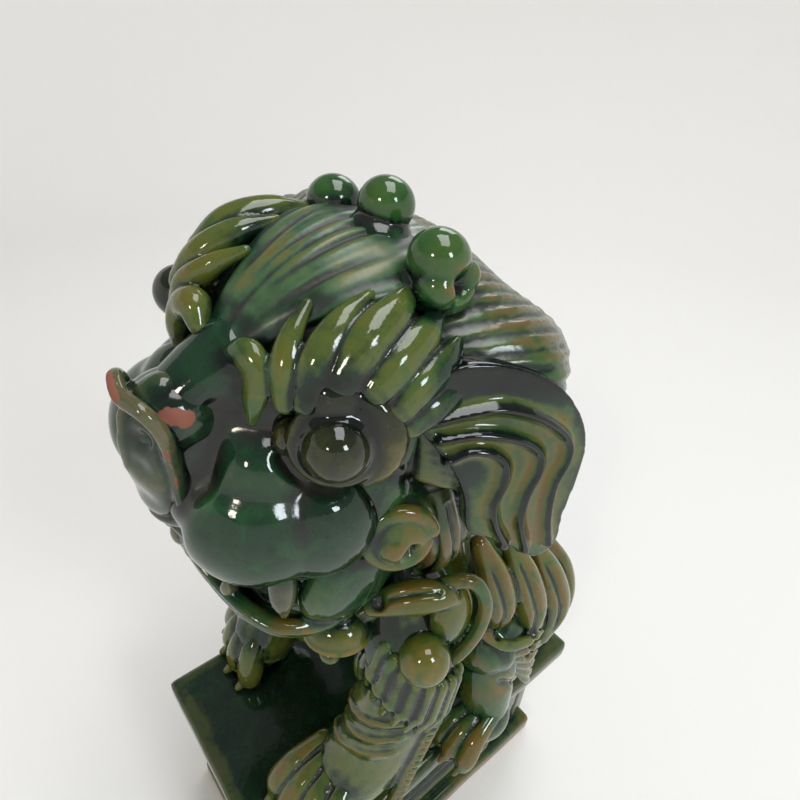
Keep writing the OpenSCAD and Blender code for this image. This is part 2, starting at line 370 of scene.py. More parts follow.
# %% Skull
skull = knead("skull", [
    ball((0, -2, 5), (32, 29, 30.5)), ball((0, 10, -2), (33, 26, 31)),
    ball((0, 4, -20), (28, 25, 20)), *both_sides((20, -12, -12), (14.5, 15, 20)),
], 0.9, 6)
place(skull, "head_shell", ON_HEAD, "green_glaze")

# %% [markdown]
# The snout is one smooth mask: the bridge and two fat upper lips that swell out past the eyes. It is wiped
# smooth, and the glaze lies thick and dark on it. The lip's lower edge is rolled over into a thin rim, and a
# finger drawn round each eye leaves a dark channel there.

# %% Snout
GAZE = Vector((0.70, -0.64, 0.31)).normalized()
eye_turn = GAZE.to_track_quat("Z", "Y")


def around_eye(radius, degrees, forward):
    a = math.radians(degrees)
    return EYE + eye_turn @ Vector((radius * math.cos(a), radius * math.sin(a), forward))


lip_rim = across([(28.2, -20, -20.5), (28, -26.5, -20.5), (24.4, -32, -20.5), (17.8, -38.2, -20.5),
                  (10, -41.4, -20.5)], (0, -43.6, -19.5))
snout = knead("snout", [
    *both_sides((13.5, -32, -10), (18, 16, 15)), ball((0, -33, 2), (14, 13, 14)),
    *both_sides((23, -23, -10), (12.5, 13, 14)), *both_sides((8, -30, -2), (13, 13, 14)),
    *both_sides((13, -29.5, -1), (11.5, 12, 12)),
    ball((0, -22, 10), (18, 15, 15)), ropes([[(*spot, 2.6) for spot in lip_rim]]),
    ropes([[(0, -42, 7.5, 7.5), (0, -36, 12, 8), (0, -28, 16, 9.5)]]),
], 0.55, 36)
comb(snout, both([(9.5, -38, 14), (11.5, -41, 6), (12, -44, -4), (10.5, -46, -12), (4, -47.5, -17)]),
     2.8, 2.0)
comb(snout, both([tuple(around_eye(9.8, a, -3.0)) for a in range(-150, 31, 20)]), 1.8, 1.2)
place(snout, "snout", ON_HEAD, "snout_glaze")

# %% [markdown]
# The nose is a blunt block stuck on the snout. A rim stands up all round its front face, a thumb has scooped
# out each side behind the rim, and two nostrils are poked beside a thin middle wall. The rim is where glaze
# runs off, and where the statue has been knocked: bare red clay shows.

# %% Nose
nose_rim = [(0, -49.4, 16.4), (5, -48.2, 16.4), (7.6, -46.6, 13), (8.2, -45.6, 6), (9.2, -45.2, -2),
            (9.6, -44.8, -8), (7.4, -44.6, -13.5), (0, -46.5, -16.5)]
nose_rim = nose_rim + [(-x, y, z) for x, y, z in nose_rim[-2:0:-1]] + nose_rim[:2]
nose = knead("nose", [
    ropes([[(*spot, 1.5) for spot in nose_rim]]),
    ball((0, -45, 0.5), (7.8, 5.6, 16.5)), ball((0, -42.5, 3), (7.0, 8, 15)), ball((0, -38, 2), (9, 8, 14.5)),
    ball((0, -40, 0), (9.8, 9, 15.5)), ball((0, -41, 8), (9, 9.6, 9.2)), ball((0, -46, 0), (8.8, 4.8, 16)),
    ball((0, -49, 5), (1.8, 2.6, 10)),
], 0.36, 8)
press(nose, [(s * 4.2, -50.5, z, r, 0, depth, 0)
             for s in (1, -1) for z, r, depth in ((9, 2.6, 2.2), (3, 3.0, 0.9), (-7, 4.2, 0.9))])
press(nose, [(s * 10.5, -42, z, 4.6, -s * 0.9, 0.4, 0) for s in (1, -1) for z in (6, 1, -5)])
place(nose, "nose", ON_HEAD, "chipped_glaze")

# %% [markdown]
# The lower jaw is a thick horseshoe lip with the mouth's floor inside it. The tongue lies in it, and the
# teeth and four fangs hang between the lips.

# %% Jaw, tongue and teeth
jaw_lip = across([(30, -10, -41), (32, -22, -42.5), (28, -32, -41), (21, -36, -41), (14.5, -38, -39.6),
                  (7.5, -39.6, -36.4)], (0, -40, -35.4))
jaw = knead("jaw", [
    ropes([[(*spot, 2.0) for spot in jaw_lip], [(x * 0.95, y + 1.4, z - 3.4, 2.8) for x, y, z in jaw_lip]]),
    ball((0, -17, -45), (26, 21, 7.5)), ball((0, -2, -40), (27, 18, 14)),
    *both_sides((28.5, -15.5, -33), (7.5, 14, 14)),
], 0.6, 5)
comb(jaw, [[(x * 1.08, y - 1.6, z + 1.0) for x, y, z in jaw_lip]], 0.8, -0.6)
place(jaw, "lower_jaw", ON_HEAD, "jaw_glaze")

tongue = knead("tongue", [ball((0, -22, -36), (9, 15, 4.5)), ball((0, -33, -36), (6.5, 6, 3.6))], 0.5, 4)
comb(tongue, [[(0, -8, -31), (0, -24, -31), (0, -36, -32)]], 1.2, 1.2)
place(tongue, "tongue", ON_HEAD, "mouth_glaze")


def along_gum(degrees, radius, z):
    """A point on the horseshoe of the gum, counted from the middle of the lip."""
    a = math.radians(degrees)
    return (radius * math.sin(a), -14 - radius * math.cos(a), z)


gum = [(*along_gum(a, 27, -27), 2.6) for a in range(-80, 81, 16)]
teeth = knead("teeth", [ropes([gum])] + [ball(along_gum(a, 28.2, -28.5), (2.8, 2.2, 3.6), (0, 0, a))
                                         for a in range(-77, 78, 11)], 0.38, 2)
place(teeth, "teeth", ON_HEAD, "mouth_glaze")


def fang(degrees, top, bottom, radius):
    return [(*along_gum(degrees, 27.5, top), radius),
            (*along_gum(degrees, 29, (top + bottom) / 2), radius * 0.86),
            (*along_gum(degrees, 29.5, bottom), 0.9)]


long_fang = [(24, -32, -22, 3.3), (26.2, -32.8, -29, 2.9), (27.6, -33, -34, 1.1)]
fangs = knead("fangs", [ropes([*both(long_fang),
                               fang(30, -38, -32, 2.0), fang(-30, -38, -32, 2.0)])], 0.35, 1)
place(fangs, "fangs", ON_HEAD, "mouth_glaze")

# %% [markdown]
# Each eye is a ball pressed into a low mound. A ring of clay closes round it as a lid, and the mound draws
# out to a soft corner on the temple side.

# %% Eyes
ring = [(*around_eye(7.3, a, -2.4), 1.5) for a in range(0, 361, 24)]
outer_fold = [(*around_eye(9.4, a, -4.0), r)
              for a, r in ((75, 2.2), (45, 3.2), (12, 3.7), (-20, 3.0), (-48, 1.8))]
eyelid = knead("eyelid", [
    ropes([ring + ring[1:2], outer_fold]), ball(EYE - 5.4 * GAZE, 8.2),
    ball(around_eye(8.0, 190, -5.5), 3.6), ball(around_eye(8.5, 100, -6.5), (6.5, 6.5, 5.5)),
], 0.36, 12)
place_pair(eyelid, "eyelid", ON_HEAD, "eye_glaze")
eyeball = knead("eyeball", [ball(EYE - 0.6 * GAZE, 5.9)], 0.3, 2)
place_pair(eyeball, "eyeball", ON_HEAD, "eye_glaze")

# %% [markdown]
# A brow is a row of six leaf-shaped tufts that lie side by side over the eye, their fat ends forward and
# their points swept back. The innermost hooks down towards the corner of the eye. Locks fan over the forehead
# in the same way. Both are rolled as ropes and patted flat, so one helper squashes whatever stands too proud
# of the skull.

# %% Patting flat
SKULL_AT, SKULL_SIZE = np.array([0.0, -2.0, 5.0]), np.array([32.0, 30.0, 31.0])


def pat_flat(piece, height, keep):
    """Squashes what stands more than height above the skull to keep times as much."""
    points, _ = skin_of(piece)
    away = (points - SKULL_AT) / SKULL_SIZE
    far = np.linalg.norm(away, axis=1)
    rise = (far - 1) * SKULL_SIZE.mean()
    lower = np.where(rise > height, height + (rise - height) * keep, rise)
    set_skin(piece, SKULL_AT + away / far[:, None] * (1 + lower / SKULL_SIZE.mean())[:, None] * SKULL_SIZE)


# %% Brows
brow_tufts = [
    [(17.5, -30, 19.5, 2.0), (15, -29, 24.5, 2.5), (12, -25.5, 29, 1.9), (9.5, -20.5, 32, 0.9)],
    [(20.5, -27.5, 21, 2.7), (18.5, -24.5, 27, 3.1), (16.5, -18.5, 31.5, 2.6), (14.5, -11, 34, 1.0)],
    [(22.5, -22, 25, 3.4), (21.5, -16.5, 30.2, 3.8), (19.5, -9, 33, 3.0), (16.5, -2.5, 34.5, 1.0)],
    [(27, -17.5, 24.5, 3.0), (26, -12, 28, 3.4), (24.5, -5.5, 30.2, 2.9), (21.5, 1, 31.5, 1.0)],
    [(30.4, -14.2, 21.2, 2.9), (30, -9.4, 24.3, 3.2), (29, -3.4, 26.2, 2.8), (26.5, 3, 27.5, 1.0)],
    [(32.4, -12.4, 17.6, 2.5), (33, -7.5, 19.8, 2.8), (32.8, -1.5, 21, 2.4), (31, 4, 22, 0.9)],
]
inner_hook = [(4.5, -33, 22.5, 2.0), (8, -32, 24.3, 3.2), (11.6, -32, 22, 3.0), (12.6, -33, 17.5, 2.4),
              (12.8, -33.4, 13, 1.2)]


def roll_brow(name):
    plump = [[(x, y, z, 1.14 * r) for x, y, z, r in tuft] for tuft in brow_tufts]
    return knead(name, [ropes(plump + [inner_hook]), ball((18, -9.5, 18.5), (14.5, 15, 13.6))], 0.4, 2)


near_brow = roll_brow("near_brow")
pat_flat(near_brow, 2.0, 0.68)
place(near_brow, "brow_left", ON_HEAD, "combed_glaze")
brow_pattern = roll_brow("brow_pattern")
place(mirrored(brow_pattern, "far_brow"), "brow_right", ON_HEAD, "combed_glaze")
bpy.data.objects.remove(brow_pattern)

# %% [markdown]
# On the forehead two broad leaves lie either side of a parting, flat on top and sharp at the edges, with two
# narrower locks outside each. They run together at the bridge of the nose.

# %% Forehead locks
LEAF_SWELL = (0.5, 1.0, 0.9, 0.5, 0.15)


def leaf(rows, half_width, thick):
    """A flat leaf: ropes laid side by side that spread from the line of rows and meet again at its point."""
    return [[(x + s * half_width * swell, y + 0.25 * s * half_width * swell,
              z - 0.10 * abs(x) * s * swell, thick)
             for (x, y, z), swell in zip(rows, LEAF_SWELL)] for s in (-1, -0.5, 0, 0.5, 1)]


broad_leaf = leaf([(6.5, 6, 35), (6.8, -4, 36), (6, -14, 33.5), (4.2, -23, 28.5), (3, -29, 23.5)], 4.4, 3.1)
outer_lock = [(17.5, 2, 33, 1.2), (15.5, -6, 33.8, 2.0), (11.5, -16, 31.6, 2.0), (7.6, -25, 26.2, 1.4),
              (6, -29, 23, 0.8)]
thin_lock = [(13.5, 0, 34.5, 0.8), (13, -7, 34.6, 1.2), (9.6, -16, 32.2, 1.2), (6.4, -24, 27.6, 0.8)]
forehead = [path for one in broad_leaf + [outer_lock, thin_lock] for path in both(one)]
crest = knead("crest", [ropes(forehead), ball((0, -5, 11), (27.5, 27, 24))], 0.5, 5)
comb(crest, both([(9.6, 4, 37), (9.4, -7, 37.4), (7.4, -17, 34.5), (4.8, -26, 28)])
     + both([(3.4, 4, 39), (3.2, -8, 39), (2.6, -18, 35), (1.8, -26, 29)]), 0.9, 1.4)
pat_flat(crest, 1.6, 0.6)
place(crest, "forehead_crest", ON_HEAD, "crest_glaze")

# %% [markdown]
# The ball curls on the crown are pinched balls of clay. The outer two have a second lobe, and a hole poked
# beside it. The one on the right has slumped lower than its twin.

# %% Crown curls
def crown_curl(name):
    curl = knead(name, [ball((17.5, 1.5, 39.5), (5.9, 5.9, 5.6)), ball((20.2, -0.8, 35.8), (4.4, 4.0, 3.8)),
                        ball((20.8, 6.2, 36.4), (2.6, 3.2, 3.4)), ball((16.5, 3, 33.6), (8, 8, 5))], 0.4, 9)
    press(curl, [(23.6, 3.0, 37.6, 2.0, -3.2, -0.4, -2.4), (11.0, -1.8, 37.5, 1.9, 2.2, 0.6, -0.8)])
    return curl


place(crown_curl("near_curl"), "crown_curl_left", ON_HEAD, "knob_glaze")
slumped = mirrored(crown_curl("curl_pattern"), "far_curl")
bpy.data.objects.remove(bpy.data.objects["curl_pattern"])
slumped.data.transform(Matrix.Translation((2.6, 2.2, -4.2)))
place(slumped, "crown_curl_right", ON_HEAD, "knob_glaze")
middle_curl = knead("middle_curl", [ball((-0.6, 4.6, 41), (5.7, 5.7, 5.4)),
                                    ball((0.6, 2.5, 36.5), (6.5, 6.5, 3.8))], 0.4, 4)
place(middle_curl, "crown_curl_middle", ON_HEAD, "knob_glaze")

# %% [markdown]
# The ears hang like a spaniel's. A slab is cut to shape and draped from the temple outwards and down. The
# outline is drawn flat, in two directions on the slab: u runs back along its top edge, v runs down. Three
# combed grooves follow the outer edge round its bend.

# %% Ears
EAR_ROOT = Vector((30, -10, 20))
EAR_FACE = Vector((0.864, -0.432, 0.259)).normalized()
EAR_U = Vector((0, 0, 1)).cross(EAR_FACE).normalized()
EAR_V = EAR_U.cross(EAR_FACE)
EAR_THICK = 4.6


def on_ear(u, v, lift=0.0):
    """A point on the draped slab: it bulges out a little in the middle and curls in at the outer edge."""
    bulge = 2.6 * math.exp(-((u - 22) / 15) ** 2 - ((v - 16) / 22) ** 2)
    return EAR_ROOT + EAR_U * u + EAR_V * v + EAR_FACE * (lift + bulge)


outline = [(-2, 3), (0, -2), (4, -5.5), (10, -7.5), (19, -6.5), (27, -3.5), (33, 1.5), (37.5, 7.5),
           (39.6, 14), (39.6, 22), (39, 31), (39.6, 38), (37, 42), (32.5, 42), (27, 37.5), (20.5, 33.6),
           (15, 31), (12.5, 22), (9, 15), (4, 9)]
edge = smooth_path(outline + outline[:1], 4)[:-1]
bpy.ops.object.select_all(action="DESELECT")
bpy.ops.mesh.primitive_circle_add(vertices=len(edge), radius=1, fill_type="NGON")
ear_slab = bpy.context.object
for vertex, (u, v) in zip(ear_slab.data.vertices, edge):
    vertex.co = Vector((u, v, -EAR_THICK))
bpy.ops.object.mode_set(mode="EDIT")
bpy.ops.mesh.select_all(action="SELECT")
bpy.ops.mesh.extrude_region_move(TRANSFORM_OT_translate={"value": (0, 0, EAR_THICK)})
bpy.ops.mesh.select_all(action="SELECT")
bpy.ops.mesh.normals_make_consistent(inside=False)
bpy.ops.object.mode_set(mode="OBJECT")
ear = knead("ear", [ear_slab], 0.42, 12)
flat, _ = skin_of(ear)
set_skin(ear, np.array([on_ear(u, v, w) for u, v, w in flat]))
ear_grooves = [
    [(3.3, 3.3), (10.7, 1.6), (17, 1), (25, 3.5), (32, 8.5), (33.4, 13.5), (31.8, 19.5), (33, 28),
     (36.2, 37.5)],
    [(5, 7.2), (12.5, 6.2), (20, 7.3), (25.4, 10.5), (26.6, 15), (25.3, 20.7), (26, 28.3), (30.2, 38)],
    [(7.5, 11.6), (11.2, 9.8), (15.6, 10.2), (18.8, 13), (19.2, 17.7), (18.4, 23), (20.4, 29), (24.2, 35)],
]
comb(ear, [[tuple(on_ear(u, v)) for u, v in line] for line in ear_grooves], 1.15, 2.3, 8)
place_pair(ear, "ear", ON_HEAD, "ear_glaze")

# %% [markdown]
# A snail curl sits on each cheek under the eye. It is a rope rolled up on itself, with a hollow at its heart.

# %% Cheek curls
CHEEK = Vector((36.2, -12.0, -12.8))
CHEEK_FACE = Vector((0.80, -0.52, 0.28)).normalized()
cheek_turn = CHEEK_FACE.to_track_quat("Z", "Y")


def around_cheek(radius, degrees, forward):
    a = math.radians(degrees)
    return CHEEK + cheek_turn @ Vector((radius * math.cos(a), radius * math.sin(a), forward))


snail = [(*around_cheek(7.2 - 1.4 * t, 20 + 330 * t, 0.4), 1.9) for t in np.linspace(0, 1, 16)]
cheek_curl = knead("cheek_curl", [ropes([snail]), ball(CHEEK - 5.6 * CHEEK_FACE, 9.4),
                                  ball(around_cheek(0.9, 215, 0.4), (4.4, 4.4, 4.0))], 0.36, 2)
press(cheek_curl, [(*around_cheek(3.0, -35, 3.4), 1.9, *(-3.0 * CHEEK_FACE))])
place_pair(cheek_curl, "cheek_curl", ON_HEAD, "olive_glaze")

# %% [markdown]
# The mane is hair combed straight back. Fine strands start behind the crown and fall back and outwards in two
# layers; the lower layer comes out from under the ends of the upper one, and a last row hangs down the nape.
# A strand is a line on an egg shape: around counts sideways from the parting, and back counts from the face
# to the nape.

# %% Mane
MANE_AT, MANE_SIZE = np.array([0.0, 8.0, 0.0]), np.array([39.0, 32.0, 34.5])


def on_mane(around, back, lift):
    a, b = math.radians(around), math.radians(back)
    flare = 0.24 * math.exp(-((abs(around) - 57) / 20) ** 2) * min(max((back - 68) / 34, 0), 1)
    outwards = np.array([math.sin(a) * math.sin(b), -math.cos(b), math.cos(a) * math.sin(b)])
    return MANE_AT + MANE_SIZE * (lift * (1 + flare)) * outwards


def mane_strand(around, start, end, low, high, radius):
    rows = []
    for t in np.linspace(0, 1, 7):
        spot = on_mane(around * (1 + 0.28 * t), start + (end - start) * t, low + (high - low) * t)
        rows.append((*spot, radius * (1 - 0.5 * t**5)))
    return rows


STRAND_PITCH = 3.9
strand_places = np.arange(-88, 88.1, STRAND_PITCH)
upper = [mane_strand(a, 62, 122, 0.965, 1.035, 1.7) for a in strand_places]
lower = [mane_strand(a + STRAND_PITCH / 2, 104, 158, 0.975, 1.06, 1.8) for a in strand_places]


def nape_strand(side):
    """A strand that hangs straight down the back of the neck, from under the ends of the second layer."""
    rows = []
    for t in np.linspace(0, 1, 6):
        a, z = math.radians(side), 15 - 50 * t
        belly = math.sqrt(1 - (z / 62) ** 2) * (1 + 0.04 * t)
        rows.append((36.5 * math.sin(a) * belly, 6 + 31.5 * math.cos(a) * belly, z, 1.9 * (1 - 0.5 * t**5)))
    return rows


nape = [nape_strand(side) for side in range(-80, 81, 5)]
mane_back = knead("mane_back", [ropes(upper + lower + nape), ball(MANE_AT, MANE_SIZE * 0.955),
                                ball((0, 5, -5), (34.5, 30, 31))], 0.85, 1)
place(mane_back, "mane_back", ON_HEAD, "mane_glaze")


def side_lock(i):
    x, y = 37 - i * 2.0, 1 + i * 8
    return [(x - 4, y, -10, 4.5), (x + 1, y + 2, -24, 5), (x - 1, y + 4, -36, 4.4), (x - 6, y + 3, -47, 2.0)]


side_locks = [side_lock(i) for i in range(5)]
mane_side = knead("mane_side", [ropes(side_locks)], 0.65, 2)
comb(mane_side, [[(x + 4 + s, y - 2 + 2 * s, z) for x, y, z, _ in lock]
                 for lock in side_locks for s in (-1, 1)], 0.8, 1.1)
place_pair(mane_side, "mane", ON_HEAD, "mane_glaze")

# %% [markdown]
# The beard is a fringe of short pointed locks behind the mouth, and a small tuft hangs under the chin.

# %% Beard
def beard_lock(i):
    x, y = 33 - i * 2.0, 2 - i * 6.5
    return [(x - 4, y, -38 - i, 3.4), (x - 1, y - 1, -45 - i, 3.5), (x - 2, y - 3, -53 - i, 1.5)]


beard_locks = [beard_lock(i) for i in range(4)]
beard = knead("beard", [ropes(beard_locks)], 0.55, 2)
comb(beard, [[(x + 3, y - 2, z) for x, y, z, _ in lock] for lock in beard_locks], 0.8, 1.0)
place_pair(beard, "beard", ON_HEAD, "olive_glaze")
chin_tuft = knead("chin_tuft", [ropes([[(x, -33, -46, 3.6), (x * 1.2, -33, -52, 3.4), (x, -31, -57, 1.6)]
                                       for x in (-6, 0, 6, 12)])], 0.45, 2)
place(chin_tuft, "chin_tuft", ON_HEAD, "green_glaze")

# %% [markdown]
# The body is pressed in two half moulds, left and right, which are joined down the middle while the clay is
# wet. So the whole torso is kneaded once and bisected, and its right half is the left half mirrored.

# %% Torso, in two halves
torso = knead("torso", [
    ball((0, -16, 74), 25), ball((0, 4, 58), (26, 24, 28)), ball((0, 34, 35), (30, 31, 31)),
    ball((0, 28, 20), (26, 30, 22)), ball((0, -26, 60), (14, 12, 15)),
    *both_sides((19, -12, 72), (15, 15, 17)),
], 0.9, 6)
select_only(torso)
bpy.ops.object.mode_set(mode="EDIT")
bpy.ops.mesh.select_all(action="SELECT")
bpy.ops.mesh.bisect(plane_co=(0, 0, 0), plane_no=(1, 0, 0), clear_inner=True, use_fill=True)
bpy.ops.object.mode_set(mode="OBJECT")
place_pair(torso, "torso", ON_PLINTH, "green_glaze")

# %% [markdown]
# A front leg is a stout column that leans forward to its paw. Three soft folds wrap the knee, and a strip of
# short combed hair runs down its outer edge.

# %% Front legs
def around_leg(degrees, z, radius=13.0):
    """A point on a front leg's skin; the leg's middle moves forward and inward on the way down."""
    up = (z - 56) / 32
    a = math.radians(degrees)
    return (33 + 2 * up + radius * math.cos(a), -17 + 8 * up + radius * math.sin(a), z)


leg = knead("leg", [
    ropes([[(22, -12, 76, 14), (32, -16, 62, 13), (33, -17, 54, 12.6), (32, -21, 38, 12.2),
            (31, -24, 26, 12), (28, -31, 14, 12)]]),
], 0.6, 5)
knee_folds = [[around_leg(a, z + (a - 235) * 0.12) for a in range(215, 331, 12)] for z in (29, 36, 43)]
comb(leg, knee_folds, 1.7, -1.5)
comb(leg, [[around_leg(a, z + 3.2 + (a - 235) * 0.12) for a in range(215, 331, 12)] for z in (27, 34, 41)],
     0.8, 0.8)
edge_strip = [(*around_leg(8, z, 12.6), 2.3) for z in range(10, 57, 8)]
leg = knead("leg", [leg, ropes([edge_strip])], 0.58, 1)
comb(leg, [[around_leg(a, z, 14.6) for a in (-20, 6, 32)] for z in range(8, 58, 3)], 0.55, 0.8, 3)
place_pair(leg, "front_leg", ON_PLINTH, "combed_glaze")

# %% [markdown]
# Every paw is the same idea: a fat pad, toes laid over it side by side like fingers, and a groove pulled
# between each pair. Only its size and its turn differ, so one function makes all of them.

# %% Paws
TOES = 4


def paw(name, width, length, height):
    pitch = width / TOES
    strands = []
    for i in range(TOES):
        x = (i - (TOES - 1) / 2) * pitch
        tip = -0.60 * length + 0.35 * abs(x)
        thick = 0.5 * pitch + 1.0
        strands.append([(x * 0.6, 0.06 * length, 0.80 * height, thick * 0.9),
                        (x * 0.9, 0.55 * tip, 0.62 * height, thick),
                        (x * 1.08, 0.9 * tip, 0.36 * height, thick * 1.08),
                        (x * 1.12, tip, thick, thick * 0.9)])
        strands.append([(x * 1.12, tip - 0.4 * thick, 0.8 * thick, 0.42 * thick),
                        (x * 1.16, tip - 1.1 * thick, 0.35 * thick, 0.30 * thick)])
    piece = knead(name, [
        ropes(strands),
        ball((0, 0.08 * length, 0.42 * height), (0.46 * width, 0.42 * length, 0.44 * height)),
        ball((0, -0.2 * length, 0.2 * height), (0.46 * width, 0.34 * length, 0.2 * height)),
    ], 0.55, 2)
    seams = [[(k * pitch * 0.65, 0, 0.95 * height), (k * pitch, -0.32 * length, 0.72 * height),
              (k * pitch * 1.1, -0.62 * length, 0.2 * height)] for k in (-1, 0, 1)]
    comb(piece, seams, 0.7, 0.9)
    return piece


def turned(degrees, x, y):
    return ON_PLINTH @ Matrix.Translation((x, y, 0)) @ Matrix.Rotation(math.radians(degrees), 4, "Z")


place(paw("paw", 26, 27, 22), "front_paw_left", turned(8, 25.5, -37), "combed_glaze")
place(paw("paw", 28, 15, 25), "front_paw_right", turned(-14, -31, -34), "combed_glaze")
place(paw("paw", 19, 24, 18), "hind_paw_left", turned(-6, 40, 12), "green_glaze")
place(paw("paw", 19, 24, 18), "hind_paw_right", turned(6, -40, 12), "green_glaze")

# %% [markdown]
# A cuff of combed hair rings the upper arm. Its strands lie side by side, each a little lower than the one
# before it, and thin out to a point above the knee.

# %% Elbow fringe
def cuff_strand(i):
    a = 212 + 17 * i
    low = 47 + 4 * i if i < 3 else 64 - 2.0 * i
    return [(*around_leg(a, 78 - 1.6 * i, 12.2), 2.0), (*around_leg(a, 68 - 1.6 * i, 12.8), 2.2),
            (*around_leg(a - 3, low + 6, 13.0), 2.1), (*around_leg(a - 6, low, 12.6), 1.0)]


cuff = knead("cuff", [ropes([cuff_strand(i) for i in range(12)]), ball((33, -17, 60), (11.8, 11.8, 12))],
             0.5, 1)
place_pair(cuff, "elbow_fringe", ON_PLINTH, "combed_glaze")

# %% [markdown]
# The lion sits on its haunches, so each one is a thick folded leg: a round rump, a thigh that comes forward
# to the knee, and a shank that drops to the paw.

# %% Haunches
haunch = knead("haunch", [
    ropes([[(20, 44, 32, 20), (27, 28, 40, 16.5), (33, 17, 42, 12.5)],
           [(33, 18, 42, 11.5), (37, 16, 26, 9.5), (39, 15, 12, 8.5)]]),
    ball((22, 46, 18), (17, 19, 18)), ball((28, 30, 20), (14, 18, 19)),
], 0.7, 7)
comb(haunch, [[(46, 12, 34), (44, 26, 22), (36, 36, 8)]], 1.6, 1.6)
place_pair(haunch, "haunch", ON_PLINTH, "green_glaze")

# %% [markdown]
# Flame-shaped locks run from the shoulder back over the hip. A lock is a fat leaf with one groove down its
# middle, and between the larger ones lies a fan of fine strands.

# %% Flank hair
flank_locks = [
    [(31, 12, 84, 3), (36, 15, 72, 5.2), (38, 17, 60, 5.4), (37, 15, 50, 2.2)],
    [(33, 24, 78, 3), (38, 27, 66, 5.4), (41, 30, 52, 5.6), (42, 28, 38, 2.4)],
    [(33, 38, 68, 3), (38, 42, 56, 5.4), (41, 45, 42, 5.6), (42, 43, 26, 2.2)],
    [(28, 52, 58, 3), (34, 56, 46, 5), (37, 57, 32, 5), (38, 54, 18, 2.0)],
]
hip_fan = [[(36, 7 + i, 56 - 3 * i, 1.3), (42, 13 + 2 * i, 50 - 4.2 * i, 1.9),
            (44.5, 23 + i, 46 - 5.2 * i, 1.7), (43.5, 32, 42 - 5.4 * i, 0.9)] for i in range(6)]
flank_locks = [[(x - 1.8, y - 2, z, r) for x, y, z, r in lock] for lock in flank_locks]
flank = knead("flank", [ropes(flank_locks + hip_fan)], 0.66, 2)
comb(flank, [[(x + 5, y - 2, z) for x, y, z, _ in lock] for lock in flank_locks], 1.2, 1.3)
place_pair(flank, "flank_hair", ON_PLINTH, "combed_glaze")

# %% [markdown]
# The tail stands up against the back as a bunch of flames: one lock in the middle and two on each side,
# all rising from one root, with fine lines combed along them.

# %% Tail
def tail_lock(k, shift=0.0):
    side = k + shift
    return [(side * 4, 55, 40, 5.6), (side * 8, 60, 60, 6.2), (side * 8.8, 58, 76, 5.4),
            (side * 6, 53, 92 - 4 * abs(k), 2.4)]


tail = knead("tail", [ropes([tail_lock(k) for k in range(-2, 3)]), ball((0, 56, 36), (11, 9, 12)),
                      ball((0, 52, 58), (17, 9, 24))], 0.7, 3)
comb(tail, [[(x, y + 4, z) for x, y, z, _ in tail_lock(k, s)]
            for k in range(-2, 3) for s in (-0.2, 0.2)], 0.9, 1.0)
place(tail, "tail", ON_PLINTH, "combed_glaze")

# %% [markdown]
# The harness is a strap round the neck with small studs. Its ends are rolled into a lobed curl and a ribbon
# loop over each shoulder, with a ball tassel below, and a flat bell hangs on the chest.

# %% Collar
COLLAR_TILT = Matrix.Translation((0, -15, 84)) @ rotation(28, "X")


def on_collar(degrees, radius, lift=0.0):
    a = math.radians(degrees)
    return tuple(COLLAR_TILT @ Vector((radius * math.cos(a), radius * math.sin(a), lift)))


strap = [(*on_collar(a, 27), 3.0) for a in range(0, 376, 15)]
studs = [ball(on_collar(a, 29.6), 1.9) for a in range(0, 360, 15)]
collar = knead("collar", [ropes([strap])] + studs, 0.55, 2)
place(collar, "collar", ON_PLINTH, "olive_glaze")

# %% Bell and its nub
BELL = Vector((22.3, -32.7, 75.3))
BELL_TURN = 44


def on_bell(x, y, z):
    return tuple(BELL + rotation(BELL_TURN, "Z") @ Vector((x, y, z)))


bell = knead("bell", [ball(BELL, (8.2, 6.6, 5.6), (0, 0, BELL_TURN)),
                      ball(BELL + Vector((0, 1, 5)), (3, 3, 3))], 0.4, 3)
belt = [on_bell(8.6 * math.cos(a), 6.8 * math.sin(a), -0.6) for a in np.linspace(0, 2 * math.pi, 20)]
comb(bell, [belt], 0.8, -0.9)
comb(bell, [[on_bell(x, -5.2, -4.4) for x in (-4, 0, 4)]], 0.7, 1.2)
place(bell, "bell", ON_PLINTH, "bell_glaze")
nub = knead("nub", [ball(BELL + Vector((1, -3, -6.4)), (3.0, 2.6, 2.2)),
                    ball(BELL + Vector((1, -3, -8)), 1.5)], 0.3, 2)
place(nub, "bell_nub", ON_PLINTH, "combed_glaze")

# %% Scrolls and tassels
lobed_curl = [(28, -26, 85, 2.6), (31, -22, 87.5, 4.0), (35, -17, 89, 4.4), (38, -12.5, 89, 3.4),
              (39.5, -9.5, 87, 2.0)]
loop_spots = [(33, -16, 87), (37.5, -10, 91.5), (41, -5, 91), (43.5, -2.5, 84), (43.8, -3.5, 75),
              (42.6, -7.5, 67), (40.5, -13, 62)]
ribbon_loop = [(*spot, 1.9) for spot in loop_spots]
scroll = knead("scroll", [ropes([lobed_curl, ribbon_loop]), ball((38.5, -9, 79), (4.2, 6.5, 11))], 0.42, 3)
press(scroll, [(29.5, -27, 89.5, 2.4, 0.5, 1.5, -3.0)])
comb(scroll, [[(31, -25.5, 90), (35, -20.5, 92.5), (38.5, -14.5, 92)]], 0.9, 0.9)
place_pair(scroll, "scroll", ON_PLINTH, "olive_glaze")

tassel = knead("tassel", [ball((40.3, -19, 72), (6.7, 6.7, 6.9))], 0.42, 4)
place_pair(tassel, "tassel", ON_PLINTH, "bell_glaze")

# %% [markdown]
# The plinth is built from rolled slabs. A block is bevelled, turned into an even skin, softened, and then
# leaned on here and there, because a hand-made slab is never quite flat and its edges are worn.

# %% Plinth slabs
ON_FLOOR = Matrix.Scale(MM, 4)


